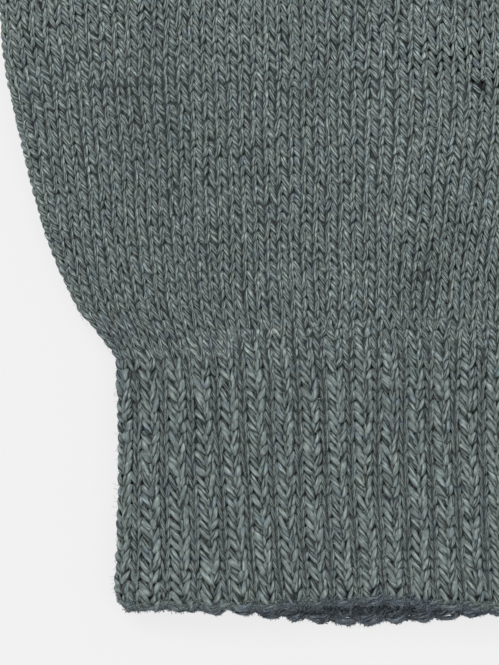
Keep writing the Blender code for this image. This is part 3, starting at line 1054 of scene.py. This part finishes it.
def under_knuckles(wale, course):
    """True where a stitch of the upper hand lies below the fingers' roots and above the floor."""
    x, y, z = (float(value[0]) for value in upper_hand(np.array([wale + 0.5]), np.array([course + 0.5]), 0.0))
    share = min(max(knuckle_share(x), 0.0), 1.0)
    return y < knuckle_line(share)[1] + PAST_KNUCKLES and z > ABOVE_FLOOR


upper_cells = [
    (wale, course, WALE)
    for course in range(first_upper_course, len(LEVELS) - 2)
    for wale in range(-33, 16)
    if under_knuckles(wale, course)
]


def crotch(wale, course, lift):
    """The lower hand's last loops between the palm and the thumb, which turn down to the floor."""
    x, y, z = in_hand(wale, first_upper_course + 0 * course, 0.0)
    return x, y + CROTCH_OUT + lift, np.maximum(z - course * COURSE, FLOOR_CLEAR)


crotch_cells = block(range(4), range(*CROTCH_WALES), WALE)
for hand, side in HANDS:
    knit(hand, side, "upper_hand", [(KNIT, upper_cells), (KNIT, crotch_cells, crotch)], upper_hand, 13)


# Fingers and thumbs: round tubes of stockinette, knitted on from the hand's last loops, and closed over
# their tips by drawing the last loops in.
Finger = namedtuple("Finger", "name first last length height taper")
FINGERS = [
    Finger("little", 0.000, 0.225, 57.0, 6.4, 0.88),
    Finger("ring", 0.225, 0.475, 73.0, 6.7, 0.89),
    Finger("middle", 0.475, 0.740, 80.0, 6.8, 0.89),
    Finger("index", 0.740, 1.000, 73.0, 6.7, 0.88),
]
THUMB_CROTCH = 26.5
THUMB = Finger("thumb", 0.0, 1.0, 62.0, 7.4, 0.74)
ROOT_TURN = 14.0
ROOT_RISE = (-1.8, 0.6)
NARROW_SIDE = 0.45
TIP_SHARE = 0.55
TIP_HEIGHT = 4.9
TIP_TURN = 1.56
TIP_BACK = 2.6
TIP_COVERED = 0.75
FINGER_COURSE = 1.70
FINGER_FLOOR = 0.8
WRAP = SIDE_ARC - 2 * SIDE_ROUND


def finger_root(finger, share):
    """A place on the line where a finger starts."""
    if finger is THUMB:
        x = THUMB_CROTCH + SEAM / 2 + (THUMB_OUTER - THUMB_CROTCH - SEAM / 2) * share
        return x, last_course(x) + SEAM
    clear = SEAM / 2 / KNUCKLE_WIDTH
    x, y = knuckle_line(finger.first + clear + (finger.last - finger.first - 2 * clear) * share)
    return x, y + SEAM


def on_finger(finger):
    """The way of placing stitches on a finger, with its root's width and how far they reach round its tip."""
    lean = radians(LEANS[finger.name])
    first, last = finger_root(finger, 0.0), finger_root(finger, 1.0)
    middle = ((first[0] + last[0]) / 2, (first[1] + last[1]) / 2)
    root_width = (last[0] - first[0]) * cos(lean) - (last[1] - first[1]) * sin(lean)
    tip_width = root_width * finger.taper
    tip_length = tip_width * TIP_SHARE
    straight = finger.length - tip_length

    def place(wale, course, lift):
        reach = course * FINGER_COURSE
        turn = np.clip((reach - straight) / tip_length, 0.0, TIP_TURN)
        width = root_width + (tip_width - root_width) * np.clip(reach / straight, 0.0, 1.0)
        width = np.where(reach > straight, tip_width * np.cos(turn), width)
        distance = np.where(reach > straight, straight + (tip_length + lift) * np.sin(turn), reach)
        height = TIP_HEIGHT + (finger.height - TIP_HEIGHT) * np.sqrt(np.cos(turn))
        spare = SIDE_ROUND - np.minimum(SIDE_ROUND, NARROW_SIDE * width)
        flat = wale * WALE * (width + 2 * spare + WRAP) / (root_width + WRAP)
        lift = lift * np.cos(turn) - ROOT_SINK * (1 - smooth(reach, *ROOT_RISE))
        off, z, upper = wrapped(flat, -width / 2 - spare, width / 2 + spare, height, lift)
        off = np.clip(off, -width / 2 - lift, width / 2 + lift)
        share = off / np.maximum(width, 0.1) + 0.5
        x = middle[0] + sin(lean) * distance + cos(lean) * off
        y = middle[1] + cos(lean) * distance - sin(lean) * off
        root_x, root_y = finger_root(finger, share)
        flat_x = middle[0] + cos(lean) * (share - 0.5) * root_width
        flat_y = middle[1] - sin(lean) * (share - 0.5) * root_width
        turned = np.maximum(0.0, 1 - reach / ROOT_TURN) ** 2
        x = x + (root_x - flat_x) * turned
        y = y + (root_y - flat_y) * turned
        return x, y, np.maximum(z - upper * pressed(x, y), FLOOR_CLEAR)

    return place, root_width, straight + TIP_TURN * tip_length


def finger_cells(place, root_width, reach):
    """The stitches round a finger, but for those that would lie on the floor."""
    around = int(np.ceil((root_width + WRAP) / WALE / 2)) + 2
    cells = []
    for course in range(-1, int(reach / FINGER_COURSE) + 1):
        for wale in range(-around, around):
            z = place(np.array([wale + 0.5]), np.array([course + 0.5]), np.array([0.0]))[2]
            if z[0] > FINGER_FLOOR:
                cells.append((wale, course, WALE))
    return cells


for finger in FINGERS + [THUMB]:
    place, root_width, reach = on_finger(finger)
    cells = finger_cells(place, root_width, reach)
    root_x, root_y = finger_root(finger, 0.5)
    lean = radians(LEANS[finger.name])
    tip = reach - (TIP_TURN - TIP_COVERED) * root_width * finger.taper * TIP_SHARE
    for hand, side in HANDS:
        def at_tip(co, normal):
            x, y = in_glove(co.x, co.y, side)
            return (x - root_x) * sin(lean) + (y - root_y) * cos(lean) > tip
        edit(walls[hand, finger.name])
        back = TIP_BACK * MM
        move(walls[hand, finger.name], at_tip, -side * sin(lean) * back, -cos(lean) * back, 0.0)
        close()
        knit(hand, side, finger.name, [(KNIT, cells)], place, 21, plain_leg)


# Loose fibres: the fine fuzz of the same wool that stands off the yarn, thickest round the hems and the
# mouths. Each fibre is a curled ribbon, rooted among the stitches.
FINE_FIBRE = 0.04
COARSE_FIBRE = 0.09
FIBRE_CURL = 0.9
FIBRE_ROOT = 0.12
FIBRE_LENGTHS = (0.45, 1.25)
FIBRE_WIDTHS = (0.6, 1.3)
FIBRE_STAND = (0.05, 0.45)
FIBRE_DEPTHS = (-0.6, 1.3)
FIBRE_RISE = (0.0, 0.8, 1.0, 0.5)
FIBRE_TAPER = (0.7, 1.0, 1.0, 0.4)
RIGHT_FIBRES = 0.12


def fuzz(groups, side, rng):
    """Fine curled ribbons on the cloth.

    groups gives ways of placing, wales, courses, numbers, lengths and widths.
    """
    roots = []
    for place, wales, courses, count, *_ in groups:
        spots = place(rng.uniform(*wales, (count, 1)), rng.uniform(*courses, (count, 1)), FIBRE_ROOT)
        roots.append(np.stack(spots, axis=-1))
    roots = np.concatenate(roots)
    counts, longs, wides = list(zip(*groups))[3:]
    count = len(roots)
    long = np.repeat(longs, counts)[:, None] * rng.uniform(*FIBRE_LENGTHS, (count, 1))
    turn = rng.uniform(0.0, 2 * pi, (count, 1))
    turn = turn + np.cumsum(rng.normal(0.0, FIBRE_CURL, (count, 4)), axis=1) * 0.6
    rise = rng.uniform(*FIBRE_STAND, (count, 1)) * np.array([FIBRE_RISE])
    step = long / 3 * np.array([[0.0, 1.0, 1.0, 1.0]])
    x = roots[:, :, 0] + np.cumsum(np.cos(turn) * step, axis=1)
    y = roots[:, :, 1] + np.cumsum(np.sin(turn) * step, axis=1)
    z = np.maximum(roots[:, :, 2] + rise, FLOOR_CLEAR)
    wide = np.repeat(wides, counts)[:, None] / 2 * rng.uniform(*FIBRE_WIDTHS, (count, 1))
    wide = wide * np.array([FIBRE_TAPER])
    off_x, off_y = -np.sin(turn) * wide, np.cos(turn) * wide
    sides = [np.stack([x + sign * off_x, y + sign * off_y, z], axis=-1) for sign in (-1, 1)]
    points = np.stack(sides, axis=2).reshape(-1, 3)
    strip = np.array([[0, 1, 3, 2], [2, 3, 5, 4], [4, 5, 7, 6]])[:, ::-1]
    faces = (strip[None] + 8 * np.arange(count)[:, None, None]).reshape(-1, 4)
    lot = rng.uniform(0.0, 1.0, (count, 1))
    along = np.repeat(np.arange(4) * 0.6, 2)[None, :] + LOT_STARTS * lot
    yarn = np.stack([along, 0.31 + 0 * along, LOT_KINDS * lot + 0 * along], axis=-1).reshape(-1, 3)
    return in_pair(tuple(points.T), side), faces, yarn


for hand, side in HANDS:
    rng = np.random.default_rng(31)
    share = 1.0 if side > 0 else RIGHT_FIBRES
    cuff_courses = (1.0, first_hand_course)
    hand_courses = (first_hand_course, first_upper_course)
    upper_courses = (first_upper_course, first_upper_course + 26)
    groups = [
        (in_rib, (-21.0, 21.0), (-0.7, 1.1), int(8000 * share), 0.55, COARSE_FIBRE),
        (back_hem, (-13.0, 14.0), (-0.4, 2.5), int(7800 * share), 0.50, COARSE_FIBRE),
        (in_rib, (-20.0, 20.0), cuff_courses, int(3000 * share), 1.4, FINE_FIBRE),
        (in_rib, (-22.0, -19.0), cuff_courses, int(2500 * share), 0.4, FINE_FIBRE),
        (in_hand, (-27.0, 26.0), hand_courses, int(2500 * share), 1.4, FINE_FIBRE),
        (upper_hand, (-29.0, 12.0), upper_courses, int(1000 * share), 1.4, FINE_FIBRE),
    ]
    points, faces, yarn = fuzz(groups, side, rng)
    name = f"{hand}_fuzz"
    deep = np.repeat(rng.uniform(*FIBRE_DEPTHS, len(points) // 8), 8)
    piece = yarn_mesh(name, points, faces, yarn, deep, side, wool(name))
    stitches[hand, "fuzz"] = piece


# Sheets: each wall is knitted cloth, as round and as long as its tube. Each wall's own raised stitches, and
# on the cuffs the back hems and the fibres, are gathered with it here, and nothing more is done with them.
for hand, side in HANDS:
    for piece, (around, length, area) in TUBES.items():
        raised = [stitches[hand, piece]]
        if piece == "cuff":
            raised += [stitches[hand, "back_hem"], stitches[hand, "fuzz"]]


# Floor, light and camera: a white table seen from straight above, under an even, very soft light. The
# camera frames the left glove's cuff and the outer side of its hand.
FLOOR_TONE = 0.865
FLOOR_FINISH = {
    "Base Color": (0.12, 0.12, 0.12, 1.0),
    "Roughness": 1.0,
    "Specular IOR Level": 0.0,
    "Emission Color": (FLOOR_TONE, FLOOR_TONE, FLOOR_TONE, 1.0),
    "Emission Strength": 0.88,
}
bpy.ops.mesh.primitive_plane_add(size=6.0, location=(0.0, 0.0, -0.0002))
floor = bpy.context.object
floor.name = "floor"
floor.data.materials.append(new_material("floor", FLOOR_FINISH))

SKY = 0.55
world = bpy.data.worlds.new("studio")
bpy.context.scene.world = world
world.use_nodes = True
settle(world.node_tree.nodes["Background"], {"Color": (1.0, 1.0, 1.0, 1.0), "Strength": SKY})

for name, place, size, power in (
    ("key_light", (-0.9, 1.1, 1.6), 1.2, 22.0),
    ("fill_light", (1.0, -0.4, 1.7), 1.6, 10.0),
):
    data = bpy.data.lights.new(name, "AREA")
    data.size = size
    data.energy = power
    light = add_object(name, data)
    light.location = place
    light.rotation_euler = (-Vector(place)).to_track_quat("-Z", "Y").to_euler()

LENS = 200.0
SENSOR = 36.0
VIEW_LONG = 0.1197
VIEW_CENTRE = (-0.11315, -0.0631)
CLOTH_HEIGHT = 0.006
camera_data = bpy.data.cameras.new("camera")
camera_data.lens = LENS
camera_data.sensor_width = SENSOR
camera = add_object("camera", camera_data)
distance = VIEW_LONG * LENS / SENSOR
camera.location = (VIEW_CENTRE[0], VIEW_CENTRE[1], CLOTH_HEIGHT + distance)
bpy.context.scene.camera = camera
bpy.context.scene.view_settings.view_transform = "Standard"
